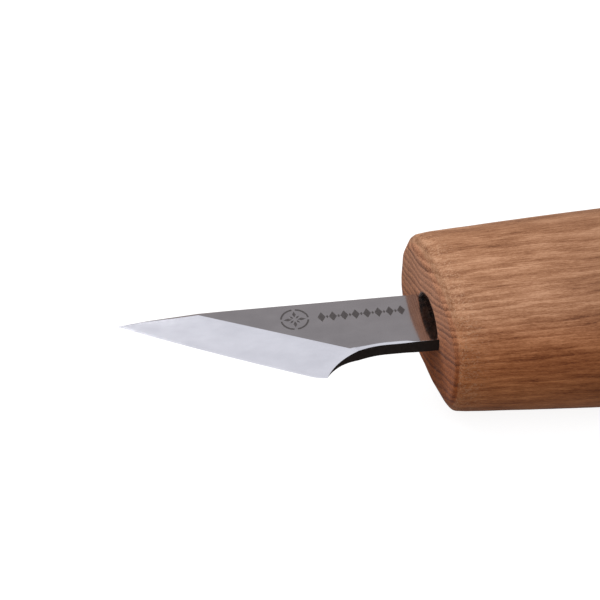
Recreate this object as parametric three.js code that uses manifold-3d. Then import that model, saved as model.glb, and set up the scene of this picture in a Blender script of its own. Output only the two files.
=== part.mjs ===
// A whittling knife with a short skew blade, lying on the flat side of its handle.
// Millimetres, +Z up. The knife's own axis is the tang axis: x = 0 where it leaves the
// handle, +X towards the butt, -X towards the tip, +Y towards the spine, and z = 0 in the
// middle of the steel. The exported group moves that axis so that the origin is under the
// middle of the whole knife, on the surface it lies on.
import * as THREE from "three";
import { mergeVertices } from "three/addons/utils/BufferGeometryUtils.js";
import Module from "manifold-3d";

// Blade
const STEEL = 2.0; // thickness of the blade stock
const BLADE_LENGTH = 45.4; // handle to tip, along the axis
const SPINE_Y = 4.9; // height of the straight spine, and half the width of the tang
const TIP_DROP = 0.35; // how far the tip lies below the line of the spine
const TIP_DROP_LENGTH = 4; // the spine starts to fall this far behind the tip
const HEEL_X = -16.1; // back corner of the cutting edge
const HEEL_Y = -9.55;
const HEEL_TURN = 2.3; // length of edge that turns towards the axis at the heel
const HEEL_RISE = 0.5; // and how much it rises over that length
const EDGE_BELLY = 0.25; // how far the cutting edge bows out from a straight line
const THROAT_X = -6.8; // where the hollow behind the heel runs out into the tang
const THROAT_LENGTH = 10; // half lengths of the ellipse that this hollow follows
const THROAT_HEIGHT = 7.2;
const SHOULDER_TIP_X = -33.7; // where the bevel's upper line meets the spine
const SHOULDER_SLOPE = 0.468; // fall of the bevel's upper line for each unit of length
const EDGE_LAND = 0.05; // steel left at the cutting edge, so that the solid stays sound

// Tang
const TANG_WIDE_END = 12; // the tang keeps its full width this far into the handle
const TANG_STEP = 1; // length of the step down to the stem
const TANG_END = 56;
const STEM_WIDTH = 7; // width of the narrow stem at its root
const STEM_TIP_WIDTH = 5; // and at its end

// Handle, from the front face to the butt. Each section is given by half its height, in Y,
// and half its thickness, in Z.
const FACE = { x: 0, height: 11.9, thickness: 8.9 }; // the front face, inside its rim
const RIM = { x: 2.7, height: 12.9, thickness: 11.6 }; // where the sanded rim ends
const GRIP = { x: 26, height: 14.5, thickness: 12.3 };
const SWELL = { x: 52, height: 15.2, thickness: 12.9 }; // the fullest part, in the palm
const WAIST = { x: 80, height: 14.6, thickness: 12.5 };
const TAIL = { x: 105, height: 13.4, thickness: 11.4 }; // where the butt rounds off
const BUTT = { x: 119.2, height: 6.5, thickness: 5 }; // the nearly flat middle of the butt
const HANDLE_LENGTH = 120;
const SQUARENESS = 2.8; // exponent of the section: 2 is an ellipse, more is squarer
const SIDE_FLAT = 12.4; // the sides are sanded flat at this distance from the middle
const TANG_OFFSET = 0.3; // the tang lies this far above the middle of the handle
const FRONT_SLANT = THREE.MathUtils.degToRad(8.9); // the front face leans, spine side ahead
const SLANT_LENGTH = 32; // the lean has died away this far along the handle

// Hole for the tang, and the resin that holds it
const BORE_RADIUS = 4.3;
const BORE_END = 60;
const SLOT_WIDTH = 10.9;
const SLOT_THICKNESS = 2.8;
const SLOT_END = TANG_WIDE_END + TANG_STEP;
const RESIN_FRONT = 3.2; // the resin stops this far inside the front face
const GAP = 0.3; // clearance between neighbouring solids
const OVERSHOOT = 10; // how far a cutting solid runs out through the front face

const wasm = await Module();
wasm.setup();

// A closed three.js geometry as a manifold solid.
function solidOf(geometry) {
  const bare = geometry.clone();
  bare.deleteAttribute("normal");
  bare.deleteAttribute("uv");
  const merged = mergeVertices(bare, 1e-4);
  return new wasm.Manifold(
    new wasm.Mesh({
      numProp: 3,
      vertProperties: new Float32Array(merged.attributes.position.array),
      triVerts: new Uint32Array(merged.index.array),
    }),
  );
}

// A manifold solid as a named three.js mesh with flat-shaded faces.
function meshOf(name, solid, material) {
  const { vertProperties, triVerts } = solid.getMesh();
  const shared = new THREE.BufferGeometry();
  shared.setAttribute("position", new THREE.BufferAttribute(vertProperties, 3));
  shared.setIndex(new THREE.BufferAttribute(triVerts, 1));
  const faceted = shared.toNonIndexed();
  faceted.computeVertexNormals();
  const mesh = new THREE.Mesh(faceted, material);
  mesh.name = name;
  return mesh;
}

// Moves every vertex of a geometry by a function that edits it in place.
function warp(geometry, move) {
  const position = geometry.attributes.position;
  const point = new THREE.Vector3();
  for (let i = 0; i < position.count; i++) {
    point.fromBufferAttribute(position, i);
    move(point, i);
    position.setXYZ(i, point.x, point.y, point.z);
  }
  return geometry;
}

const tip = new THREE.Vector2(-BLADE_LENGTH, SPINE_Y - TIP_DROP);
const heel = new THREE.Vector2(HEEL_X, HEEL_Y);
const edgeEnd = new THREE.Vector2(HEEL_X - HEEL_TURN, HEEL_Y + HEEL_RISE);

// The control point that makes the cutting edge bow out by its belly.
function bellyPoint() {
  const run = edgeEnd.clone().sub(tip).normalize();
  const outward = new THREE.Vector2(run.y, -run.x);
  return tip.clone().lerp(edgeEnd, 0.5).addScaledVector(outward, 2 * EDGE_BELLY);
}

// Side view of blade and tang: spine, tip, cutting edge, heel, throat, and the stepped tang.
function bladeOutline() {
  const belly = bellyPoint();
  const throatY = -SPINE_Y - THROAT_HEIGHT;
  const heelOnThroat = Math.atan2(
    (heel.y - throatY) / THROAT_HEIGHT,
    (heel.x - THROAT_X) / THROAT_LENGTH,
  );
  const stemX = TANG_WIDE_END + TANG_STEP;

  const outline = new THREE.Shape();
  outline.moveTo(TANG_WIDE_END, SPINE_Y);
  outline.lineTo(tip.x + TIP_DROP_LENGTH, SPINE_Y);
  outline.lineTo(tip.x, tip.y);
  outline.quadraticCurveTo(belly.x, belly.y, edgeEnd.x, edgeEnd.y);
  outline.quadraticCurveTo(edgeEnd.x + HEEL_TURN / 2, heel.y, heel.x, heel.y);
  outline.absellipse(
    THROAT_X, throatY, THROAT_LENGTH, THROAT_HEIGHT,
    heelOnThroat, Math.PI / 2, true, 0,
  );
  outline.lineTo(TANG_WIDE_END, -SPINE_Y);
  outline.lineTo(stemX, -STEM_WIDTH / 2);
  outline.lineTo(TANG_END, -STEM_TIP_WIDTH / 2);
  outline.lineTo(TANG_END, STEM_TIP_WIDTH / 2);
  outline.lineTo(stemX, STEM_WIDTH / 2);
  return outline;
}

// The shoulder is the line on the flat where the bevel starts.
const shoulderY = (x) => SPINE_Y - SHOULDER_SLOPE * (x - SHOULDER_TIP_X);

// What grinding takes off one side: a box warped so that its lower face is the bevel, a
// ruled surface from the shoulder on the flat to the cutting edge, and on past it.
function bevelCut() {
  const shoulderFrom = SHOULDER_TIP_X - 16;
  const edgeFrom = tip.clone().lerp(edgeEnd, -0.1);
  const edgeTo = tip.clone().lerp(edgeEnd, 1.35);
  const past = 1.3; // the cut is this many times as wide as the bevel
  const fall = (STEEL - EDGE_LAND) / 2; // from the flat to the cutting edge
  return solidOf(
    warp(new THREE.BoxGeometry(1, 1, 1, 24, 1, 1), (p) => {
      const along = p.x + 0.5;
      const across = (0.5 - p.y) * past;
      const shoulderX = THREE.MathUtils.lerp(shoulderFrom, THROAT_X, along);
      const spot = new THREE.Vector2(shoulderX, shoulderY(shoulderX));
      spot.lerp(edgeFrom.clone().lerp(edgeTo, along), across);
      p.set(spot.x, spot.y, p.z < 0 ? STEEL / 2 - fall * across : 2 * STEEL);
    }),
  );
}

function blade(material) {
  const blank = new THREE.ExtrudeGeometry(bladeOutline(), {
    depth: STEEL,
    bevelEnabled: false,
    curveSegments: 20,
  });
  blank.translate(0, 0, -STEEL / 2);
  const cut = bevelCut();
  const ground = solidOf(blank).subtract(cut).subtract(cut.mirror([0, 0, 1]));
  return meshOf("blade", ground, material);
}

// Half the handle's height or thickness against the distance from its front face, which is
// the points' y. Both have their points at the same distances.
function handleProfile(half) {
  const at = (station, share = 1) => new THREE.Vector2(half(station) * share, station.x);
  const rimCorner = new THREE.Vector2(half(RIM), 0.3 * RIM.x);
  const tailCorner = new THREE.Vector2(half(TAIL) - 1.1, TAIL.x + 9);
  const buttCorner = new THREE.Vector2(half(BUTT) + 4.5, BUTT.x - 0.6);

  const profile = new THREE.CurvePath();
  profile.add(new THREE.LineCurve(new THREE.Vector2(0, 0), at(FACE)));
  profile.add(new THREE.QuadraticBezierCurve(at(FACE), rimCorner, at(RIM)));
  profile.add(new THREE.SplineCurve([RIM, GRIP, SWELL, WAIST, TAIL].map((s) => at(s))));
  profile.add(new THREE.CubicBezierCurve(at(TAIL), tailCorner, buttCorner, at(BUTT)));
  profile.add(
    new THREE.QuadraticBezierCurve(
      at(BUTT),
      new THREE.Vector2(half(BUTT) / 2, HANDLE_LENGTH),
      new THREE.Vector2(0, HANDLE_LENGTH),
    ),
  );
  return profile.getPoints(6);
}

// A turned form, then squared up, thinned, flattened on both sides and slanted in front.
function handleBody() {
  const heights = handleProfile((station) => station.height);
  const thicknesses = handleProfile((station) => station.thickness);
  const square = (v) => Math.sign(v) * Math.abs(v) ** (2 / SQUARENESS);
  const turned = new THREE.LatheGeometry(heights, 56);
  warp(turned, (p, i) => {
    const radius = Math.hypot(p.x, p.z) || 1;
    const ring = i % heights.length;
    const along = p.y;
    const y = heights[ring].x * square(p.z / radius);
    const z = thicknesses[ring].x * square(p.x / radius);
    const lean = Math.tan(FRONT_SLANT) * Math.max(0, 1 - along / SLANT_LENGTH);
    p.set(along - lean * y, y, THREE.MathUtils.clamp(z, -SIDE_FLAT, SIDE_FLAT));
  });
  turned.translate(0, 0, -TANG_OFFSET);
  return solidOf(turned);
}

// A round bar on the tang axis, from one x to another.
function bar(radius, from, to) {
  const round = new THREE.CylinderGeometry(radius, radius, to - from, 40);
  round.rotateZ(Math.PI / 2).translate((from + to) / 2, 0, 0);
  return solidOf(round);
}

// A flat bar on the tang axis, from one x to another.
function flatBar(width, thickness, from, to) {
  const flat = new THREE.BoxGeometry(to - from, width, thickness);
  flat.translate((from + to) / 2, 0, 0);
  return solidOf(flat);
}

// The drilled bore, with the sawn slot that takes the full width of the tang.
function handle(material) {
  const bore = bar(BORE_RADIUS, -OVERSHOOT, BORE_END);
  const slot = flatBar(SLOT_WIDTH, SLOT_THICKNESS, -OVERSHOOT, SLOT_END + GAP);
  return meshOf("handle", handleBody().subtract(bore.add(slot)), material);
}

// Resin fills the bore round the tang, and stops short of the front face.
function resinBed(material) {
  const plug = bar(BORE_RADIUS - GAP, RESIN_FRONT, BORE_END - GAP);
  const thickness = STEEL + 2 * GAP;
  const tangRoom = flatBar(2 * (SPINE_Y + GAP), thickness, 0, SLOT_END + GAP);
  const stemRoom = flatBar(STEM_WIDTH + 2 * GAP, thickness, 0, TANG_END + GAP);
  return meshOf("resin_bed", plug.subtract(tangRoom.add(stemRoom)), material);
}

const steel = new THREE.MeshStandardMaterial({ color: 0xb9bbc2, roughness: 0.22, metalness: 1 });
const wood = new THREE.MeshStandardMaterial({ color: 0xa97850, roughness: 0.6, metalness: 0 });
const resin = new THREE.MeshStandardMaterial({ color: 0x1f1611, roughness: 0.3, metalness: 0 });

const group = new THREE.Group();
group.name = "whittling_knife";
group.add(handle(wood), blade(steel), resinBed(resin));
group.position.set((BLADE_LENGTH - HANDLE_LENGTH) / 2, 0, SIDE_FLAT + TANG_OFFSET);

export default group;
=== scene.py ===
# The looks of a whittling knife: a finely ground blade, a sanded hardwood handle and the
# dark resin round the tang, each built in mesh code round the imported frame.
import math

import bmesh
import bpy
import numpy as np
from mathutils import Matrix, Vector, noise


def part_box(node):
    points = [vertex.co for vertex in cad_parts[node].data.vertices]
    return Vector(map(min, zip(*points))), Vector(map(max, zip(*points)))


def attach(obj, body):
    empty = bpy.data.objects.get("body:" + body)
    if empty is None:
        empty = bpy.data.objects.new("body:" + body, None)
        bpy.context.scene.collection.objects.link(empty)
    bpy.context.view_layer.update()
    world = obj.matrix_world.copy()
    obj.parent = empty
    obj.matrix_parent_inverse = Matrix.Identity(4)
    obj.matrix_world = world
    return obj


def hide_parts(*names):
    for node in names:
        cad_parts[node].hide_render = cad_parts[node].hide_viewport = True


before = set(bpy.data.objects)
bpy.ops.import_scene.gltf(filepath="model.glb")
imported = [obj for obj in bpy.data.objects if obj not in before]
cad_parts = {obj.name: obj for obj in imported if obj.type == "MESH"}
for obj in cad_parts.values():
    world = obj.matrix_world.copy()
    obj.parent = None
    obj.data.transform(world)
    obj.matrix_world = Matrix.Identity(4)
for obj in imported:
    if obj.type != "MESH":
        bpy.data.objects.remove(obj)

MM = 0.001  # the frame is in metres, and every size below is in millimetres

# The knife's own axis, as in the CAD: x = 0 where the tang leaves the handle, +X towards the
# butt, +Y towards the spine, z = 0 in the middle of the steel.
BLADE_LENGTH = 45.4
FRONT_SLANT = math.radians(8.9)  # the handle's front face leans, spine side ahead
BLADE_LOW, BLADE_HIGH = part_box("blade")
AXIS_START = Vector((
    BLADE_LOW.x / MM + BLADE_LENGTH,
    0,
    (BLADE_LOW.z + BLADE_HIGH.z) / 2 / MM,
))

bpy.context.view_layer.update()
WELD_DISTANCE = 2e-7  # metres: points nearer than this are one point


# ---------------------------------------------------------------- mesh helpers

def place(points):
    """Points in millimetres on the knife's own axis, as points of the frame in metres."""
    return (np.asarray(points, float) + np.array(AXIS_START)) * MM


def piece(name, points, faces, materials, slots=None, sharp=None):
    """A mesh object from points on the knife's axis, with one material for each face slot."""
    mesh = bpy.data.meshes.new(name)
    mesh.from_pydata([tuple(p) for p in place(points)], [], faces)
    for material in materials:
        mesh.materials.append(material)
    if slots is not None:
        mesh.polygons.foreach_set("material_index", slots)
    work = bmesh.new()
    work.from_mesh(mesh)
    bmesh.ops.remove_doubles(work, verts=work.verts, dist=WELD_DISTANCE)
    bmesh.ops.recalc_face_normals(work, faces=work.faces)
    work.to_mesh(mesh)
    work.free()
    mesh.polygons.foreach_set("use_smooth", [True] * len(mesh.polygons))
    if sharp is not None:
        mesh.set_sharp_from_angle(angle=math.radians(sharp))
    mesh.update()
    obj = bpy.data.objects.new(name, mesh)
    bpy.context.scene.collection.objects.link(obj)
    return obj


def grid_faces(rows, columns, start=0, closed=False):
    """Quads between rows of points; a closed grid joins the last column to the first."""
    quads = []
    for r in range(rows - 1):
        for c in range(columns if closed else columns - 1):
            d = (c + 1) % columns
            a = start + r * columns
            quads.append((a + c, a + d, a + columns + d, a + columns + c))
    return quads


def bezier(controls, t):
    """Points of a Bezier curve of any degree at the parameters t."""
    pts = [np.outer(np.ones_like(t), c) for c in np.asarray(controls, float)]
    while len(pts) > 1:
        pts = [(1 - t)[:, None] * a + t[:, None] * b for a, b in zip(pts, pts[1:])]
    return pts[0]


def smoothstep(low, high, value):
    """0 at low, 1 at high, with a smooth turn at both."""
    t = np.clip((np.asarray(value, float) - low) / (high - low), 0, 1)
    return t * t * (3 - 2 * t)


# ---------------------------------------------------------------- materials

NOISE_RANGE = (0.3, 0.7)


class Nodes:
    """A short way to write a node tree: each call adds a node and returns an output."""

    def __init__(self, tree):
        self.tree = tree

    def add(self, kind, **settings):
        node = self.tree.nodes.new(kind)
        for key, value in settings.items():
            setattr(node, key, value)
        return node

    def link(self, source, target):
        if isinstance(source, bpy.types.NodeSocket):
            self.tree.links.new(source, target)
        else:
            target.default_value = source

    def math(self, operation, a, b=0.0, clamp=False):
        node = self.add("ShaderNodeMath", operation=operation, use_clamp=clamp)
        self.link(a, node.inputs[0])
        self.link(b, node.inputs[1])
        return node.outputs[0]

    def dot(self, vector, direction):
        node = self.add("ShaderNodeVectorMath", operation="DOT_PRODUCT")
        self.link(vector, node.inputs[0])
        self.link(direction, node.inputs[1])
        return node.outputs["Value"]

    def add_vectors(self, a, b):
        node = self.add("ShaderNodeVectorMath", operation="ADD")
        self.link(a, node.inputs[0])
        self.link(b, node.inputs[1])
        return node.outputs[0]

    def scale(self, vector, factors):
        node = self.add("ShaderNodeVectorMath", operation="MULTIPLY")
        self.link(vector, node.inputs[0])
        self.link(factors, node.inputs[1])
        return node.outputs[0]

    def axis_mm(self):
        """The point being shaded, in millimetres on the knife's own axis."""
        spot = self.add("ShaderNodeTexCoord").outputs["Object"]
        return self.add_vectors(self.scale(spot, (1 / MM,) * 3), tuple(-AXIS_START))

    def noise(self, vector, scale, detail, roughness, stretch=None):
        """Noise with so many cells to the millimetre, along axes weighted by stretch."""
        node = self.add("ShaderNodeTexNoise")
        vector = self.scale(vector, stretch) if stretch else vector
        self.link(vector, node.inputs["Vector"])
        node.inputs["Scale"].default_value = scale
        node.inputs["Detail"].default_value = detail
        node.inputs["Roughness"].default_value = roughness
        return node.outputs["Fac"]

    def spread(self, value, low, high, to_low=0.0, to_high=1.0, smooth=True):
        """The value from low to high, spread over another range and held at its ends."""
        node = self.add("ShaderNodeMapRange")
        node.interpolation_type = "SMOOTHSTEP" if smooth else "LINEAR"
        self.link(value, node.inputs["Value"])
        node.inputs["From Min"].default_value = low
        node.inputs["From Max"].default_value = high
        node.inputs["To Min"].default_value = to_low
        node.inputs["To Max"].default_value = to_high
        return node.outputs["Result"]

    def full(self, noise, to_low=0.0, to_high=1.0):
        """The range that a noise mostly keeps to, spread over another."""
        return self.spread(noise, *NOISE_RANGE, to_low, to_high)

    def ramp(self, value, stops):
        node = self.add("ShaderNodeValToRGB")
        self.link(value, node.inputs["Fac"])
        elements = node.color_ramp.elements
        while len(elements) < len(stops):
            elements.new(0.5)
        for element, (position, colour) in zip(elements, stops):
            element.position = position
            element.color = (*colour, 1)
        return node.outputs["Color"]

    def mix(self, factor, a, b, blend="MIX"):
        node = self.add("ShaderNodeMix", data_type="RGBA", blend_type=blend)
        self.link(factor, node.inputs["Factor"])
        for value, socket in ((a, node.inputs["A"]), (b, node.inputs["B"])):
            self.link((*value, 1) if isinstance(value, tuple) else value, socket)
        return node.outputs["Result"]

    def bump(self, height, strength, distance_mm):
        node = self.add("ShaderNodeBump")
        self.link(height, node.inputs["Height"])
        node.inputs["Strength"].default_value = strength
        node.inputs["Distance"].default_value = distance_mm * MM
        return node.outputs["Normal"]

    def weighted(self, *parts):
        """The sum of each value times its weight."""
        total = None
        for value, weight in parts:
            share = self.math("MULTIPLY", value, weight)
            total = share if total is None else self.math("ADD", total, share)
        return total

    def tinted(self, amount, colour, tint):
        """The colour, multiplied by the tint as far as the amount says."""
        return self.mix(amount, colour, self.mix(1.0, colour, tint, "MULTIPLY"))


class Material(Nodes):
    """A material with one principled shader, on the knife's own axis in millimetres."""

    def __init__(self, name):
        self.material = bpy.data.materials.new(name)
        self.material.use_nodes = True
        super().__init__(self.material.node_tree)
        self.tree.nodes.clear()
        self.shader = self.add("ShaderNodeBsdfPrincipled")
        output = self.add("ShaderNodeOutputMaterial")
        self.link(self.shader.outputs["BSDF"], output.inputs["Surface"])

    def set(self, **sockets):
        """Links or sets the shader's sockets, with _ for each space in a name."""
        for name, value in sockets.items():
            self.link(value, self.shader.inputs[name.replace("_", " ")])
        return self.material


# The growth rings curve round a line above the spine side, and drift along the handle.
RING_CENTRE = (0.0, 24.5, 56.5)
RING_SPACING = 1.1
RUN_OUT = 0.035  # of drift for each millimetre along the handle
RING_WANDER = 5.0  # how far noise of three sizes bends the rings, in ring spacings
RING_RIPPLE = 0.45
RING_JITTER = 0.35
EARLY_WOOD = (0.1, 0.85)  # share of a year's growth over which the wood darkens
YEAR_END = (0.87, 1.0)  # and over which it turns pale again
FAINTEST_YEAR = 0.45

# Colours by shade, from the palest wood to the darkest.
SIDE_GRAIN = [
    (0.22, (0.615, 0.335, 0.194)),
    (0.55, (0.420, 0.200, 0.099)),
    (0.85, (0.270, 0.110, 0.046)),
    (1.0, (0.160, 0.058, 0.023)),
]
END_GRAIN = [
    (0.15, (0.670, 0.333, 0.188)),
    (0.50, (0.435, 0.192, 0.099)),
    (0.95, (0.150, 0.056, 0.025)),
]
PORE = (0.16, 0.062, 0.027)
TORN_FIBRE = (0.72, 0.43, 0.26)

LIT_SIDE_AXIS = (0.0, 0.45, 0.9)  # painted shade: the wood is darkened and reddened away from this side, towards the underside and the edge side, where less light falls
PAINTED_SHADE_FROM = (8.5, -7.0)  # over these distances along that axis
# How far the painted shade darkens and reddens the sides and the sawn front.
PAINTED_SHADE_SIDE = (1.03, 0.79, 0.52)
PAINTED_SHADE_SAWN = (0.74, 0.45, 0.19)
LIGHT_BAND_NEAR = (5.0, 0.0)  # a band of painted light, paler wood low on the edge side, fades in over these distances
LIGHT_BAND_FAR = (-9.0, -3.0)  # and out over these, from -3 to -9
PAINTED_LIGHT_BAND = (1.22, 1.18, 1.17)
PAINTED_FALLOFF = (0.55, 0.50, 0.46)  # painted shade: darker along the handle, for light that falls off away from the front face
FALLOFF_FRONT = (2, 40)  # which grows over these distances behind the front face
FALLOFF_BACK = (118, 92)  # and over these, forwards from the butt
FALLOFF_AMOUNT = 0.52
END_GRAIN_DEPTH = 0.42  # the sawn end shows as far as this behind the front face
RIM_FIBRES = (0.8, 6.0)  # torn fibres thin out from here to here behind the front face


def wood_grain(n, spot):
    """The patterns of a hardwood whose fibres run along X: rings, fibres, flecks, tone."""
    wander = n.noise(spot, 1.0, 2, 0.5, stretch=(0.03, 0.05, 0.05))
    ripple = n.noise(spot, 1.0, 3, 0.6, stretch=(0.14, 0.3, 0.3))
    jitter = n.noise(spot, 1.0, 3, 0.7, stretch=(0.3, 1.5, 1.5))
    away = n.add("ShaderNodeVectorMath", operation="LENGTH")
    across = n.scale(spot, (0.0, 1.0, 1.0))
    n.link(n.add_vectors(across, tuple(-c for c in RING_CENTRE)), away.inputs[0])
    depth = n.weighted(
        (away.outputs["Value"], 1 / RING_SPACING),
        (n.dot(spot, (1.0, 0.0, 0.0)), RUN_OUT / RING_SPACING),
        (wander, RING_WANDER),
        (ripple, RING_RIPPLE),
        (jitter, RING_JITTER),
    )
    phase = n.math("FRACT", depth)
    year = n.add("ShaderNodeTexWhiteNoise", noise_dimensions="1D")
    n.link(n.math("FLOOR", depth), year.inputs["W"])
    strength = n.spread(year.outputs["Value"], 0.0, 1.0, FAINTEST_YEAR, 1.0, smooth=False)
    ring = n.math("MULTIPLY", n.spread(phase, *EARLY_WOOD), n.spread(phase, *YEAR_END, 1.0, 0.0))
    ring = n.math("MULTIPLY", ring, strength)
    fibre = n.noise(spot, 3.8, 6, 0.75, stretch=(0.045, 1.0, 1.0))
    fleck = n.noise(spot, 8.0, 3, 0.75, stretch=(0.20, 1.0, 1.0))
    tone = n.noise(spot, 1.0, 4, 0.55, stretch=(0.10, 0.40, 0.40))
    return ring, fibre, fleck, tone


def side_grain(n, ring, fibre, fleck, tone):
    """Colour along the fibres, and how far a pore opens at each point."""
    shade = n.weighted(
        (ring, 0.28),
        (n.full(fibre), 0.40),
        (n.full(fleck), 0.30),
        (n.full(tone), 0.30),
    )
    pore = n.spread(fleck, 0.66, 0.76)
    return n.mix(n.math("MULTIPLY", pore, 0.35), n.ramp(shade, SIDE_GRAIN), PORE), pore


def make_wood():
    n = Material("oiled_hardwood")
    spot = n.axis_mm()
    ring, fibre, fleck, tone = wood_grain(n, spot)
    side, pore = side_grain(n, ring, fibre, fleck, tone)
    distance = n.dot(spot, (1.0, math.tan(FRONT_SLANT), 0.0))  # behind the front face

    # The sides: painted shade, darker along the handle behind the front face and towards the
    # underside, with a band of painted light low on the edge side.
    # painted shade, darker along the handle away from the front face
    falloff = n.math("MULTIPLY", n.spread(distance, *FALLOFF_FRONT), n.spread(distance, *FALLOFF_BACK))
    side = n.tinted(n.math("MULTIPLY", falloff, FALLOFF_AMOUNT), side, PAINTED_FALLOFF)
    towards_lit_side = n.dot(spot, LIT_SIDE_AXIS)
    painted_shade = n.spread(towards_lit_side, *PAINTED_SHADE_FROM)
    side = n.tinted(painted_shade, side, PAINTED_SHADE_SIDE)
    # painted light: a paler band across the lower side of the handle
    light_band = n.math(
        "MULTIPLY", n.spread(towards_lit_side, *LIGHT_BAND_NEAR), n.spread(towards_lit_side, *LIGHT_BAND_FAR)
    )
    side = n.tinted(light_band, side, PAINTED_LIGHT_BAND)

    # The sawn front: duller, ruled with growth rings and dotted with pores.
    dots = n.noise(spot, 4.5, 4, 0.7, stretch=(0.5, 1.0, 1.0))
    cut = n.weighted((ring, 0.50), (n.full(dots), 0.60), (tone, 0.15))
    # The sawn front gets the same painted shade towards the underside.
    sawn = n.tinted(painted_shade, n.ramp(cut, END_GRAIN), PAINTED_SHADE_SAWN)
    ragged = n.math("ADD", distance, n.math("MULTIPLY", n.math("SUBTRACT", dots, 0.5), 0.5))
    behind = n.spread(ragged, END_GRAIN_DEPTH - 0.1, END_GRAIN_DEPTH + 0.15)
    colour = n.mix(behind, sawn, side)

    # Torn fibres catch the light just behind the rim, and thin out along the handle.
    speck = n.noise(spot, 3.3, 3, 0.75, stretch=(0.8, 1.0, 1.0))
    near_rim = n.math("MULTIPLY", behind, n.spread(distance, *RIM_FIBRES, 1.0, 0.0))
    fuzz = n.math("MULTIPLY", near_rim, n.spread(speck, 0.52, 0.62))
    colour = n.mix(n.math("MULTIPLY", fuzz, 0.5), colour, TORN_FIBRE)

    height = n.weighted((fibre, 1.0), (fleck, 0.6), (pore, -0.8), (fuzz, 0.7), (dots, 0.3))
    sawn_rough = n.spread(behind, 0.0, 1.0, 0.34, 0.0, smooth=False)
    return n.set(
        Base_Color=colour,
        Roughness=n.math("ADD", n.full(fibre, 0.50, 0.66), sawn_rough, clamp=True),
        Normal=n.bump(height, 0.5, 0.07),
        Specular_IOR_Level=0.28,
        Sheen_Weight=0.12,
        Sheen_Roughness=0.45,
        Sheen_Tint=(1.0, 0.93, 0.88, 1.0),
    )


def make_bore_wall():
    """Wood inside the bore, darkened to about a third of its colour and smeared with dark resin.
    """
    n = Material("darkened_bore")
    spot = n.axis_mm()
    colour, _ = side_grain(n, *wood_grain(n, spot))
    smear = n.noise(spot, 0.9, 5, 0.7)
    grit = n.noise(spot, 4.5, 3, 0.7)
    colour = n.mix(1.0, colour, (0.30, 0.25, 0.23), "MULTIPLY")
    colour = n.mix(n.spread(smear, 0.42, 0.6), colour, (0.012, 0.009, 0.008))
    colour = n.mix(n.spread(grit, 0.54, 0.64), colour, (0.27, 0.165, 0.110))
    rough = n.spread(smear, 0.42, 0.6, 0.65, 0.25)
    height = n.weighted((smear, 1.0), (grit, 0.5))
    return n.set(Base_Color=colour, Roughness=rough, Normal=n.bump(height, 0.8, 0.2))


def make_flat_steel():
    """Satin steel: fine rubbing marks along the blade and a few faint smears."""
    n = Material("satin_steel")
    spot = n.axis_mm()
    rubbed = n.noise(spot, 1.0, 4, 0.6, stretch=(0.25, 9.0, 1.0))
    smear = n.noise(spot, 1.0, 3, 0.5, stretch=(0.25, 0.4, 1.0))
    return n.set(
        Base_Color=n.ramp(smear, [(0.3, (0.555, 0.535, 0.548)), (0.7, (0.60, 0.58, 0.592))]),
        Roughness=n.full(smear, 0.085, 0.12),
        Normal=n.bump(rubbed, 0.05, 0.004),
        Metallic=1.0,
    )


def make_ground_steel():
    """Polished bevel, with faint grinding lines that run from the spine to the edge."""
    n = Material("polished_bevel")
    spot = n.axis_mm()
    along_edge = (0.906, -0.424, 0.0)
    across_edge = (0.424, 0.906, 0.0)
    lines = n.add("ShaderNodeCombineXYZ")
    n.link(n.dot(spot, along_edge), lines.inputs["X"])
    n.link(n.math("MULTIPLY", n.dot(spot, across_edge), 0.12), lines.inputs["Y"])
    grind = n.noise(lines.outputs[0], 5.0, 5, 0.65)
    cloud = n.noise(spot, 1.0, 3, 0.55, stretch=(0.22, 0.5, 1.0))
    return n.set(
        Base_Color=n.ramp(cloud, [(0.3, (0.56, 0.56, 0.60)), (0.7, (0.62, 0.62, 0.66))]),
        Roughness=n.full(grind, 0.13, 0.22),
        Normal=n.bump(grind, 0.10, 0.006),
        Metallic=1.0,
    )


def make_scale_steel():
    """Blackened edge faces of the stock, left as they came from hardening."""
    n = Material("blackened_edge")
    scale = n.noise(n.axis_mm(), 2.2, 5, 0.65)
    return n.set(
        Base_Color=n.ramp(scale, [(0.35, (0.012, 0.010, 0.010)), (0.7, (0.030, 0.024, 0.022))]),
        Roughness=n.full(scale, 0.42, 0.6),
        Normal=n.bump(scale, 0.4, 0.03),
        Metallic=0.4,
    )


def make_resin():
    n = Material("dark_resin")
    cloud = n.noise(n.axis_mm(), 1.3, 5, 0.7)
    return n.set(
        Base_Color=n.ramp(cloud, [(0.38, (0.022, 0.015, 0.013)), (0.62, (0.21, 0.130, 0.092))]),
        Roughness=n.full(cloud, 0.22, 0.45),
        Normal=n.bump(cloud, 0.5, 0.15),
    )


def make_etch():
    n = Material("etched_steel")
    grain = n.noise(n.axis_mm(), 7.0, 3, 0.6)
    return n.set(
        Base_Color=n.ramp(grain, [(0.3, (0.075, 0.068, 0.068)), (0.7, (0.14, 0.13, 0.13))]),
        Roughness=n.full(grain, 0.38, 0.55),
        Normal=n.bump(grain, 0.3, 0.01),
        Metallic=0.8,
    )


# ---------------------------------------------------------------- handle

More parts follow.
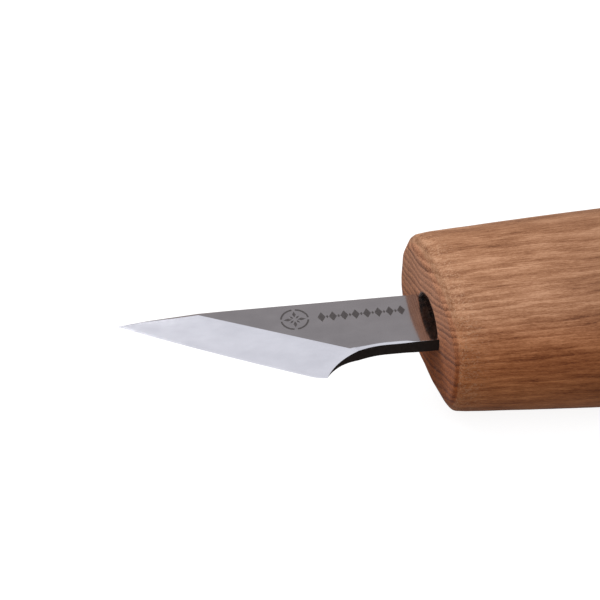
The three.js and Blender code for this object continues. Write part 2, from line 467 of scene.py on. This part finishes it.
# Sections of the handle: distance from its front face, half height and half thickness.
FACE = (0.0, 11.9, 8.9)
RIM_EDGE = (1.0, 12.86, 11.2)  # the broken edge between the front face and the sides
RIM = (2.7, 12.9, 11.6)
GRIP = (26.0, 14.5, 12.3)
SWELL = (52.0, 15.2, 12.9)
WAIST = (80.0, 14.6, 12.5)
TAIL = (105.0, 13.4, 11.4)
BUTT = (119.2, 6.5, 5.0)
HANDLE_LENGTH = 120.0
TAIL_CORNER = (TAIL[0] + 9, TAIL[1] - 1.1, TAIL[2] - 1.1)  # controls of the round end
BUTT_CORNER = (BUTT[0] - 0.6, BUTT[1] + 4.5, BUTT[2] + 4.5)
BUTT_MIDDLE = (HANDLE_LENGTH, BUTT[1] / 2, BUTT[2] / 2)
BUTT_END = (HANDLE_LENGTH, 0.3, 0.25)
CHAMFER_STRAIGHT = 0.82  # share of the broken edge that is flat before it rounds over
BODY_ROUND = 0.22  # share of the way on to the rim over which it rounds
SQUARENESS = 2.8  # exponent of the section: 2 is an ellipse, more is squarer
SIDE_FLAT = 12.4  # the sides are sanded flat at this distance from the middle
TANG_OFFSET = 0.3  # the middle of the handle lies this far under the steel
SLANT_LENGTH = 32.0  # the lean has died away this far along the handle
AROUND = 288  # points round each section

BORE_RADIUS = 4.3
SLOT_HALF_WIDTH = 4.97
SLOT_HALF_THICKNESS = 1.05
BORE_DEPTH = 13.0
BORE_STATIONS = (1.0, 2.0, 3.2, 4.5, 6.5, 9.0, BORE_DEPTH)
FACE_RINGS = 14  # from the rim in to the bore
MOUTH_SPREAD = 1.05  # the mouth is this much wider than the bore, with its corner broken
MOUTH_EASE = ((0.05, 1.025), (0.15, 1.008), (0.35, 1.0))  # depth and spread below it

SANDING_SIZE = 2.4  # millimetres to a hollow or hump that hand sanding leaves
SANDING_HEIGHT = 0.09
SANDING_SHIFT = Vector((3.1, 7.7, 1.3))  # a place in the noise
SANDING_SEED = 7  # without a seed, noise_vector is different on every run
SANDING_FACE = 9  # it is strongest from the front face to this far behind it
SANDING_BORE = 6.2  # and is even within this radius
WOOD, BORE = 0, 1  # material slots


def catmull_rom(points, steps):
    """A uniform Catmull-Rom curve through the points, as three.js draws a SplineCurve."""
    pts = np.asarray(points, float)
    last = len(pts) - 1
    out = []
    for i in range(last):
        before, a, b, after = pts[max(i - 1, 0)], pts[i], pts[i + 1], pts[min(i + 2, last)]
        for t in np.linspace(0, 1, steps, endpoint=False):
            v0, v1 = (b - before) / 2, (after - a) / 2
            out.append(
                (2 * a - 2 * b + v0 + v1) * t**3
                + (-3 * a + 3 * b - 2 * v0 - v1) * t**2
                + v0 * t
                + a
            )
    out.append(pts[-1])
    return np.array(out)


def handle_profile():
    """Rows of distance, half height and half thickness, from the front face to the butt."""
    face, edge, rim = (np.array(p) for p in (FACE, RIM_EDGE, RIM))
    chamfer_end = face + (edge - face) * CHAMFER_STRAIGHT
    body_start = edge + (rim - edge) * BODY_ROUND
    parts = [
        bezier([face, chamfer_end], np.linspace(0, 1, 5)),
        bezier([chamfer_end, edge, body_start], np.linspace(0, 1, 9))[1:],
        bezier([body_start, rim], np.linspace(0, 1, 4))[1:],
        catmull_rom([RIM, GRIP, SWELL, WAIST, TAIL], 16)[1:],
        bezier([TAIL, TAIL_CORNER, BUTT_CORNER, BUTT], np.linspace(0, 1, 18))[1:],
        bezier([BUTT, BUTT_MIDDLE, BUTT_END], np.linspace(0, 1, 9))[1:],
    ]
    return np.vstack(parts)


def section(half_height, half_thickness):
    """Points (y, z) of one squared section, flattened on both sides."""
    turn = np.linspace(0, 2 * np.pi, AROUND, endpoint=False)
    c, s = np.cos(turn), np.sin(turn)
    y = half_height * np.sign(c) * np.abs(c) ** (2 / SQUARENESS)
    z = half_thickness * np.sign(s) * np.abs(s) ** (2 / SQUARENESS)
    return y, np.clip(z, -SIDE_FLAT, SIDE_FLAT) - TANG_OFFSET


def slanted(distance, y, z):
    """A ring of points at one distance, leaning as the front face does."""
    lean = math.tan(FRONT_SLANT) * np.maximum(0, 1 - distance / SLANT_LENGTH)
    return np.column_stack([distance - lean * y, y, z])


def hole_outline(y, z):
    """Where rays towards the points (y, z) leave the bore or the slot, whichever is later."""
    angle = np.arctan2(z, y)
    c, s = np.abs(np.cos(angle)), np.abs(np.sin(angle))
    slot = np.minimum(
        SLOT_HALF_WIDTH / np.maximum(c, 1e-6), SLOT_HALF_THICKNESS / np.maximum(s, 1e-6)
    )
    reach = np.maximum(BORE_RADIUS, slot)
    return reach * np.cos(angle), reach * np.sin(angle)


def roughen(points):
    """Moves points by smooth seeded noise, as hand sanding leaves them: most near the front
    face, less in the bore and along the sides, and not at all where the handle lies."""
    noise.seed_set(SANDING_SEED)
    near_face = smoothstep(SANDING_FACE, 0, np.abs(points[:, 0]))
    in_bore = np.hypot(points[:, 1], points[:, 2]) < SANDING_BORE
    amount = np.where(in_bore, 0.5, 0.25 + 0.75 * near_face)
    amount *= np.where(points[:, 2] < -SIDE_FLAT + 0.3, 0, 1)
    moved = np.array(points)
    for i, p in enumerate(points):
        offset = noise.noise_vector(Vector(p) / SANDING_SIZE + SANDING_SHIFT)
        moved[i] += np.array(offset) * SANDING_HEIGHT * amount[i]
    return moved


def handle_front():
    """Rings from the bottom of the bore out to its mouth and across to the face's rim."""
    face_y, face_z = section(FACE[1], FACE[2])
    hole_y, hole_z = hole_outline(face_y, face_z)
    rings = []
    for share in np.linspace(0, 1, FACE_RINGS + 1)[1:]:
        y = face_y + (hole_y * MOUTH_SPREAD - face_y) * share
        z = face_z + (hole_z * MOUTH_SPREAD - face_z) * share
        rings.append(slanted(0, y, z))
    for depth, spread in MOUTH_EASE:
        rings.append(slanted(0, hole_y * spread, hole_z * spread) + (depth, 0, 0))
    for depth in BORE_STATIONS:
        rings.append(np.column_stack([np.full(AROUND, depth), hole_y, hole_z]))
    return rings[::-1]


def make_handle(wood, bore_wall):
    rings = handle_front()
    for distance, half_height, half_thickness in handle_profile():
        rings.append(slanted(distance, *section(half_height, half_thickness)))
    points = np.vstack(rings)
    faces = grid_faces(len(rings), AROUND, closed=True)
    bore_faces = AROUND * (len(MOUTH_EASE) + len(BORE_STATIONS) - 1)
    slots = [BORE] * bore_faces + [WOOD] * (len(faces) - bore_faces)

    bottom, butt = len(points), len(points) + 1
    points = np.vstack([points, [BORE_DEPTH, 0, 0], [HANDLE_LENGTH, 0, -TANG_OFFSET]])
    last = (len(rings) - 1) * AROUND
    for c in range(AROUND):
        d = (c + 1) % AROUND
        faces.append((bottom, d, c))
        faces.append((last + c, last + d, butt))
    slots += [BORE, WOOD] * AROUND
    return piece("handle_wood", roughen(points), faces, [wood, bore_wall], slots, sharp=50)


# ---------------------------------------------------------------- blade

FLAT, GROUND, SCALE = 0, 1, 2  # material slots

HALF_STEEL = 1.0
SPINE_Y = 4.9
TIP = (-BLADE_LENGTH - 0.35, 4.56)
TIP_DROP_X = -41.4  # the spine falls to the tip from here
HEEL = (-16.1, -9.55)
EDGE_END = (-18.4, -9.05)  # where the edge turns up to the heel
EDGE_BELLY = 0.25
THROAT_CENTRE = (-6.8, -12.1)
THROAT_SIZE = (10.0, 7.2)
SHOULDER_TIP_X = -33.7  # where the bevel's upper line meets the spine
SHOULDER_SLOPE = 0.468
TANG_WIDE_END = 12.0
STEM_START = (13.0, 3.5)
STEM_END = (56.0, 2.5)

# The corners of the stock are eased: how far in, and how far down, each row of the eased
# strip lies, as shares of its width and its depth.
EASED = ((0.0, 0.0), (0.15, 0.06), (0.35, 0.28), (0.85, 0.82), (0.96, 0.92), (1.0, 1.0))
LOW_BREAK = 0.42  # width along the throat and the lower side of the tang
LOW_BREAK_DEPTH = 0.085
LOW_BREAK_GROWS = (0.0, 0.8)  # as the steel's half thickness goes from one to the other
LOW_BREAK_FADES = (-4.3, -2.2)  # it all but dies out between these two stations
LOW_BREAK_LOST = 0.96
CORNER_BREAK = 0.95  # width where the bevel runs out into the throat
CORNER_X = -12.3
CORNER_LENGTH = 1.7
SPINE_BREAK = 0.36  # width along the spine where the shoulder meets it
SPINE_BREAK_DEPTH = 0.06
SPINE_BREAK_GROWS = (-0.1, 0.95)  # half thicknesses over which it widens from the tip
SPINE_DEPTH_GROWS = (0.05, 0.3)
BACK_BREAK = 0.08  # width behind the shoulder, where the steel is full thickness
BACK_FADE = 4.0
EDGE_DRAFT = 0.24  # the lower wall leans out by this much from the top to the underside
DRAFT_GROWS = (-14, -10)
DRAFT_FADES = (1.6, 0.7)
DRAFT_BELOW = 1 - SPINE_Y

MICRO_BEVEL = 0.955  # share of the bevel's width where the honed edge starts
MICRO_HEIGHT = 0.062
HONED_FADE = 20  # the honed edge is full beyond 1/20 of its length from either end
ALONG = 120
ACROSS = 24
SPINE_STEPS = 30


def edge_curve(count):
    """The cutting edge from tip to heel, bowed by its belly and turned up at the heel."""
    tip, end, heel = (np.array(p) for p in (TIP, EDGE_END, HEEL))
    run = (end - tip) / np.linalg.norm(end - tip)
    belly = (tip + end) / 2 + 2 * EDGE_BELLY * np.array((run[1], -run[0]))
    main = bezier([tip, belly, end], np.linspace(0, 1, 200))
    turn = bezier([end, ((end[0] + heel[0]) / 2, heel[1]), heel], np.linspace(0, 1, 40))
    return resample(np.vstack([main, turn[1:]]), np.linspace(0, 1, count))


def length_along(points):
    steps = np.linalg.norm(np.diff(points, axis=0), axis=1)
    return np.concatenate([[0], np.cumsum(steps)])


def resample(points, shares):
    """The same curve with points at these shares of its length."""
    length = length_along(points)
    return np.column_stack([np.interp(shares * length[-1], length, c) for c in points.T])


def throat_curve():
    """The lower outline from the heel round the throat and along the tang."""
    cx, cy = THROAT_CENTRE
    a, b = THROAT_SIZE
    start = math.atan2((HEEL[1] - cy) / b, (HEEL[0] - cx) / a)
    turn = np.linspace(start, math.pi / 2, 160)
    arc = np.column_stack([cx + a * np.cos(turn), cy + b * np.sin(turn)])
    arc[0] = HEEL
    tang = level_line(cx, TANG_WIDE_END, 20, -SPINE_Y)[1:]
    return np.vstack([arc, tang])


def level_line(first_x, last_x, count, y):
    return np.column_stack([np.linspace(first_x, last_x, count), np.full(count, y)])


def inset(points, amount, side):
    """The curve moved sideways by an amount that may change along it."""
    tangent = np.gradient(points, axis=0)
    tangent /= np.linalg.norm(tangent, axis=1)[:, None]
    normal = np.column_stack([-tangent[:, 1], tangent[:, 0]]) * side
    return points + normal * np.asarray(amount)[:, None]


def shoulder_drop(points):
    """How far below the shoulder line, square to it, each point lies."""
    line = SPINE_Y - SHOULDER_SLOPE * (points[:, 0] - SHOULDER_TIP_X)
    return (line - points[:, 1]) / math.hypot(1, SHOULDER_SLOPE)


def bevel_height(points, full_drop):
    """Half the steel's thickness under each point: it falls from the shoulder down."""
    return HALF_STEEL * np.clip(1 - shoulder_drop(points) / full_drop, 0, 1)


def lower_rail():
    """Heel, throat and lower side of the tang with its eased corner: for each point the
    inner x, y and height, the outer x, y and height, and the corner's depth."""
    outer = throat_curve()
    full_drop = shoulder_drop(outer)[0]
    outer_height = bevel_height(outer, full_drop)
    corner = np.exp(-(((outer[:, 0] - CORNER_X) / CORNER_LENGTH) ** 2))
    size = smoothstep(*LOW_BREAK_GROWS, outer_height)
    size = size * (1 - LOW_BREAK_LOST * smoothstep(*LOW_BREAK_FADES, outer[:, 0]))
    inner = inset(outer, (LOW_BREAK + (CORNER_BREAK - LOW_BREAK) * corner) * size, 1)
    inner[0] = outer[0]
    inner_height = bevel_height(inner, full_drop)
    return np.column_stack([inner, inner_height, outer, outer_height, LOW_BREAK_DEPTH * size])


def spine_rail():
    """The spine from the tip to the shoulder, where the steel thickens: for each point the
    inner x and y, the height, the outer x and y, and the corner's depth."""
    drop_end = (TIP_DROP_X, SPINE_Y)
    drop_bend = ((TIP[0] + TIP_DROP_X) / 2 + 1, SPINE_Y - 0.02)
    drop = bezier([TIP, drop_bend, drop_end], np.linspace(0, 1, 40))
    drop = resample(drop, np.linspace(0, 1, SPINE_STEPS))
    level = level_line(TIP_DROP_X, SHOULDER_TIP_X, SPINE_STEPS + 1, SPINE_Y)[1:]
    outer = np.vstack([drop, level])
    length = length_along(outer)
    height = HALF_STEEL * length / length[-1]
    inner = inset(outer, SPINE_BREAK * smoothstep(*SPINE_BREAK_GROWS, height), -1)
    inner[0] = outer[0]
    depth = SPINE_BREAK_DEPTH * smoothstep(*SPINE_DEPTH_GROWS, height)
    return np.column_stack([inner, height, outer, depth])


def back_rail():
    """The spine behind the shoulder, at full thickness, in the same order."""
    outer = level_line(SHOULDER_TIP_X, TANG_WIDE_END, SPINE_STEPS, SPINE_Y)
    fade = smoothstep(SHOULDER_TIP_X + BACK_FADE, SHOULDER_TIP_X, outer[:, 0])
    width = BACK_BREAK + (SPINE_BREAK - BACK_BREAK) * fade
    inner = outer - np.column_stack([0 * fade, width])
    height = np.full(SPINE_STEPS, HALF_STEEL)
    return np.column_stack([inner, height, outer, SPINE_BREAK_DEPTH * width / SPINE_BREAK])


def bevel_rows(shoulder, edge, near_tip, near_heel, shares):
    """Rows of (x, y, z) from the shoulder to the edge, on a patch fitted between those two
    lines and the ends of the rows, with a honed strip along the edge."""
    along = np.linspace(0, 1, ALONG)
    t = along[:, None]
    inside = np.clip(np.minimum(along, 1 - along) * HONED_FADE, 0, 1)
    rows = []
    for v, tip_end, heel_end in zip(shares, near_tip, near_heel):
        between = (1 - t) * tip_end + t * heel_end
        rails = (1 - v) * shoulder + v * edge
        spot = between[:, :2] + rails - ((1 - t) * rails[0] + t * rails[-1])
        if v > MICRO_BEVEL:
            honed = MICRO_HEIGHT * (1 - v) / (1 - MICRO_BEVEL)
            height = between[:, 2] * (1 - inside) + honed * inside
        else:
            lift = (MICRO_HEIGHT - HALF_STEEL * (1 - MICRO_BEVEL)) * v / MICRO_BEVEL
            height = between[:, 2] + lift * inside
        rows.append(with_z(spot, height))
    rows[-1][:, 2] = 0
    return rows


class Steel:
    """Collects the faces of the blade: each is drawn above and below the middle plane."""

    def __init__(self):
        self.points, self.faces, self.slots = [], [], []

    def rows(self, rows, slot):
        """A strip or sheet of quads from rows of (x, y, z) points."""
        for side in (1, -1):
            start = len(self.points)
            for row in rows:
                self.points.extend((x, y, z * side) for x, y, z in row)
            quads = grid_faces(len(rows), len(rows[0]), start)
            self.faces += quads
            self.slots += [slot] * len(quads)

    def polygon(self, outline, slot):
        """One flat face from its (x, y, z) corners."""
        for side in (1, -1):
            start = len(self.points)
            self.points.extend((x, y, z * side) for x, y, z in outline)
            self.faces.append(tuple(range(start, start + len(outline))))
            self.slots.append(slot)


def with_z(points, z):
    return np.column_stack([points, np.broadcast_to(z, len(points))])


def eased_strip(inner, outer, depth):
    """Rows of an eased corner, from the row inner on the top face down to the row outer,
    where the side wall starts."""
    rows = []
    for across, down in EASED:
        row = inner + (outer - inner) * across
        row[:, 2] -= depth * down
        rows.append(row)
    return rows


def drafted(points):
    """The lower wall of the tang leans out towards the underside, as a cut edge does."""
    moved = np.array(points)
    x, y, z = moved.T
    reach = smoothstep(*DRAFT_GROWS, x) * smoothstep(*DRAFT_FADES, x) * (y < DRAFT_BELOW)
    moved[:, 1] -= EDGE_DRAFT * reach * (HALF_STEEL - z) / (2 * HALF_STEEL)
    return moved


def make_blade(flat, ground, scale):
    steel = Steel()
    low, tip, back = lower_rail(), spine_rail(), back_rail()
    inner = low[:, :2]
    meets = int(np.argmax(shoulder_drop(inner) < 0))

    # Both rails are cut at the bevel's own rows, so that the eased strips share its corners.
    shares = np.sort(np.append(np.linspace(0, 1, ACROSS), MICRO_BEVEL))
    near_tip = resample(tip[::-1], shares)
    near_heel = resample(low[: meets + 1][::-1], shares)
    shoulder = np.linspace(tip[-1, :2], inner[meets], ALONG)
    edge = edge_curve(ALONG)
    bevel = bevel_rows(shoulder, edge, near_tip[:, :3], near_heel[:, :3], shares)
    steel.rows(bevel, GROUND)

    # The flat, one plane from the shoulder back to the end of the tang.
    (stem_x, stem_y), (end_x, end_y) = STEM_START, STEM_END
    stem = [(stem_x, stem_y), (end_x, end_y), (end_x, -end_y), (stem_x, -stem_y)]
    outline = np.vstack([back[:, :2], stem, inner[meets:][::-1], shoulder[1:-1][::-1]])
    steel.polygon(with_z(outline, HALF_STEEL), FLAT)

    # The eased corners, the side walls under them, and the steps down to the stem.
    tip = near_tip[::-1]
    low = np.vstack([near_heel[::-1], low[meets + 1:]])
    strips = [
        eased_strip(tip[:, :3], with_z(tip[:, 3:5], tip[:, 2]), tip[:, 5]),
        eased_strip(back[:, :3], with_z(back[:, 3:5], back[:, 2]), back[:, 5]),
        eased_strip(low[:, :3], low[:, 3:6], low[:, 6]),
    ]
    for strip in strips:
        steel.rows(strip, GROUND)
    for strip in strips:
        steel.rows([strip[-1], strip[-1] * (1, 1, 0)], SCALE)
    for strip in strips[1:]:
        column = [row[-1] for row in strip]
        column += [column[-1] * (1, 1, 0), column[0] * (1, 1, 0)]
        steel.polygon(column, SCALE)
    top = with_z(np.vstack([back[-1:, :2], stem, inner[-1:]]), HALF_STEEL)
    steel.rows([top, top * (1, 1, 0)], SCALE)

    blade = piece("blade_steel", drafted(steel.points), steel.faces, [flat, ground, scale],
                  steel.slots, sharp=5)
    for polygon in blade.data.polygons:
        polygon.use_smooth = polygon.material_index != FLAT
    return blade


# ---------------------------------------------------------------- resin and etched mark

RESIN_FRONT = 3.2
RESIN_BACK = 12.0
RESIN_RADIUS = 4.22
RESIN_GRID = (40, 14)  # points across and up the front of one filling
RESIN_LUMPS = 0.45  # how far noise moves the front
RESIN_CREEP = 0.9  # how far the resin creeps up the walls,
CREEP_FROM = 0.7  # from this share of the way out
TANG_CLEARANCE = 0.06


def resin_face(side, flat_back):
    """Points of the front or back of the filling above (1) or below (-1) the tang."""
    columns, rows = RESIN_GRID
    low_z = HALF_STEEL + TANG_CLEARANCE
    half_width = math.sqrt(RESIN_RADIUS**2 - low_z**2)
    points = []
    for v in np.linspace(0, 1, rows):
        for u in np.linspace(-1, 1, columns):
            y = u * half_width
            top = math.sqrt(max(RESIN_RADIUS**2 - y**2, low_z**2))
            z = low_z + (top - low_z) * v
            rim = max(abs(u), v, 1 - v)
            lump = noise.noise(Vector((y * 0.9, z * 0.9 + 20 * side, 4.0)))
            creep = RESIN_CREEP * (max(0, rim - CREEP_FROM) / (1 - CREEP_FROM)) ** 2
            x = RESIN_BACK if flat_back else RESIN_FRONT + RESIN_LUMPS * lump - creep
            points.append((x, y, z * side))
    return points


def make_resin_fill(resin):
    """Two half-round fillings, above and below the tang, with lumpy fronts that creep up
    the walls as resin does when it sets."""
    points, faces = [], []
    columns, rows = RESIN_GRID
    n = rows * columns
    for side in (1, -1):
        start = len(points)
        points += resin_face(side, False) + resin_face(side, True)
        front = grid_faces(rows, columns, start)
        back = [tuple(i + n for i in f[::-1]) for f in front]
        rim = [start + c for c in range(columns)]
        rim += [start + r * columns + columns - 1 for r in range(1, rows)]
        rim += [start + (rows - 1) * columns + c for c in range(columns - 2, -1, -1)]
        rim += [start + r * columns for r in range(rows - 2, 0, -1)]
        sides = [(a, a + n, b + n, b) for a, b in zip(rim, rim[1:] + rim[:1])]
        faces += front + back + sides
    return piece("resin_fill", points, faces, [resin], sharp=60)


ETCH_HEIGHT = 0.012  # the etched mark is a film this thick on the flat
ETCH_DEPTH = 0.01  # and reaches this far into it
RING_MIDDLE = (-19.6, 1.85)
RING_RADIUS = 2.15
RING_WIDTH = 0.28
RING_GAP = 7  # degrees at each end of a quarter
LEAF = [(0.4, 0), (1.0, 0.27), (1.65, 0), (1.0, -0.27)]
SMALL_LEAF = 0.62
BAND_START = -15.6
BAND_STEP = 1.7
BAND_COUNT = 8
LOZENGE = (0.6, 1.0)  # half width and half height
DOT = (0.2, 0.34)


def ring_sector(middle, first, last):
    """Outline of a piece of the ring between two angles in degrees."""
    cx, cy = middle
    outer, inner = RING_RADIUS, RING_RADIUS - RING_WIDTH
    turn = np.linspace(math.radians(first), math.radians(last), 14)
    arc = [(cx + outer * math.cos(t), cy + outer * math.sin(t)) for t in turn]
    return arc + [(cx + inner * math.cos(t), cy + inner * math.sin(t)) for t in turn[::-1]]


def lozenge(x, y, size):
    width, height = size
    return [(x - width, y), (x, y - height), (x + width, y), (x, y + height)]


def mark_outlines():
    """A broken ring round eight leaves, then a row of lozenges with dots between them."""
    cx, cy = RING_MIDDLE
    outlines = []
    for first in (0, 90, 180, 270):
        outlines.append(ring_sector(RING_MIDDLE, first + RING_GAP, first + 90 - RING_GAP))
    for eighth in range(8):
        turn = math.radians(45 * eighth)
        size = SMALL_LEAF if eighth % 2 else 1.0
        c, s = math.cos(turn) * size, math.sin(turn) * size
        outlines.append([(cx + x * c - y * s, cy + x * s + y * c) for x, y in LEAF])
    for i in range(BAND_COUNT):
        x = BAND_START + BAND_STEP * i
        outlines.append(lozenge(x, cy, LOZENGE))
        if i:
            outlines.append(lozenge(x - BAND_STEP / 2, cy, DOT))
    return outlines


def make_mark(etch):
    """A plain ornament etched on the flat."""
    points, faces = [], []
    for outline in mark_outlines():
        start, count = len(points), len(outline)
        for z in (HALF_STEEL - ETCH_DEPTH, HALF_STEEL + ETCH_HEIGHT):
            points.extend((x, y, z) for x, y in outline)
        faces.append(tuple(range(start + count, start + 2 * count)))
        faces.append(tuple(range(start + count - 1, start - 1, -1)))
        for i in range(count):
            j = (i + 1) % count
            faces.append((start + i, start + j, start + count + j, start + count + i))
    return piece("etched_mark", points, faces, [etch], sharp=30)


# ---------------------------------------------------------------- stage, light and camera

CAMERA_AZIMUTH = math.radians(-6.18)
CAMERA_ELEVATION = math.radians(44.16)
CAMERA_ROLL = math.radians(-0.7)
CAMERA_AIM = (-18.5, 4.36, 2.46)  # on the knife's own axis
CAMERA_DISTANCE = 232.9
CAMERA_LENS = 94.2
SENSOR = 36.0
SOFTBOX_AXIS = (-0.15, -0.15, 0.977)
# The room's light by the cosine of the angle to the middle of the softbox: dim and warm at
# the horizon and under it, warm walls, a grey band above them, and the softbox from 0.73.
ROOM_LIGHT = [
    (0.0, (0.170, 0.140, 0.125)),
    (0.30, (0.480, 0.410, 0.380)),
    (0.61, (0.372, 0.366, 0.382)),
    (0.73, (1.00, 1.00, 1.05)),
    (1.0, (1.15, 1.16, 1.20)),
]
BACKDROP = (0.97, 0.97, 0.97)
KEY_FROM = (-0.55, 0.45, 0.72)
KEY_DISTANCE = 0.7
KEY_SIZE = 0.4
KEY_POWER = 2.2
KEY_COLOUR = (1.0, 0.985, 0.97)
FLOOR_HALF = 3.0
FLOOR_GLOW = 0.88
FLOOR_DROP = 0.02  # millimetres, just clear of the handle's flat


def make_floor():
    mesh = bpy.data.meshes.new("floor")
    size, low = FLOOR_HALF, -FLOOR_DROP * MM
    corners = [(-size, -size, low), (size, -size, low), (size, size, low), (-size, size, low)]
    mesh.from_pydata(corners, [], [(0, 1, 2, 3)])
    floor = bpy.data.objects.new("floor", mesh)
    bpy.context.scene.collection.objects.link(floor)
    n = Material("pale_paper")
    grain = n.noise(n.axis_mm(), 0.05, 2, 0.5)
    mesh.materials.append(n.set(
        Base_Color=n.ramp(grain, [(0.3, (0.29, 0.29, 0.29)), (0.7, (0.31, 0.31, 0.31))]),
        Roughness=0.9,
        Specular_IOR_Level=0.0,
        Emission_Color=(1, 1, 1, 1),
        Emission_Strength=FLOOR_GLOW,
    ))
    floor.visible_diffuse = False
    floor.visible_glossy = False


def make_room():
    """A wide softbox overhead in a grey room; the camera sees a plain pale backdrop."""
    world = bpy.data.worlds.new("studio")
    bpy.context.scene.world = world
    world.use_nodes = True
    n = Nodes(world.node_tree)
    direction = n.add("ShaderNodeTexCoord").outputs["Generated"]
    light = n.ramp(n.dot(direction, SOFTBOX_AXIS), ROOM_LIGHT)
    shown = n.add("ShaderNodeLightPath").outputs["Is Camera Ray"]
    n.link(n.mix(shown, light, BACKDROP), world.node_tree.nodes["Background"].inputs["Color"])


def make_key():
    """One soft lamp on the tip's side, behind the spine and above."""
    data = bpy.data.lights.new("key", "AREA")
    data.shape = "DISK"
    data.size = KEY_SIZE
    data.energy = KEY_POWER
    data.color = KEY_COLOUR
    key = bpy.data.objects.new("key", data)
    bpy.context.scene.collection.objects.link(key)
    towards = Vector(KEY_FROM).normalized()
    key.location = Vector(place((0, 0, 0))) + towards * KEY_DISTANCE
    key.rotation_euler = towards.to_track_quat("Z", "Y").to_euler()


def make_camera():
    ce, se = math.cos(CAMERA_ELEVATION), math.sin(CAMERA_ELEVATION)
    ca, sa = math.cos(CAMERA_AZIMUTH), math.sin(CAMERA_AZIMUTH)
    back = Vector((sa * ce, -ca * ce, se))
    right = Vector((ca, sa, 0))
    up = back.cross(right)
    cr, sr = math.cos(CAMERA_ROLL), math.sin(CAMERA_ROLL)
    right, up = cr * right + sr * up, cr * up - sr * right
    data = bpy.data.cameras.new("camera")
    data.lens = CAMERA_LENS
    data.sensor_width = SENSOR
    data.clip_start = 0.01
    camera = bpy.data.objects.new("camera", data)
    bpy.context.scene.collection.objects.link(camera)
    aim = Vector(place(CAMERA_AIM))
    turn = Matrix((right, up, back)).transposed().to_4x4()
    camera.matrix_world = Matrix.Translation(aim + back * CAMERA_DISTANCE * MM) @ turn
    bpy.context.scene.camera = camera


# ---------------------------------------------------------------- the scene

make_camera()
make_room()
make_key()
make_floor()

handle = make_handle(make_wood(), make_bore_wall())
blade = make_blade(make_flat_steel(), make_ground_steel(), make_scale_steel())
resin = make_resin_fill(make_resin())
mark = make_mark(make_etch())

for shown, node, slot in (
    (handle, "handle", "handle_wood"),
    (blade, "blade", "blade_steel"),
    (resin, "resin_bed", "tang_resin"),
):
    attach(shown, "root")
    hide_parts(node)
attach(mark, "root")

bpy.context.scene.view_settings.view_transform = "Standard"
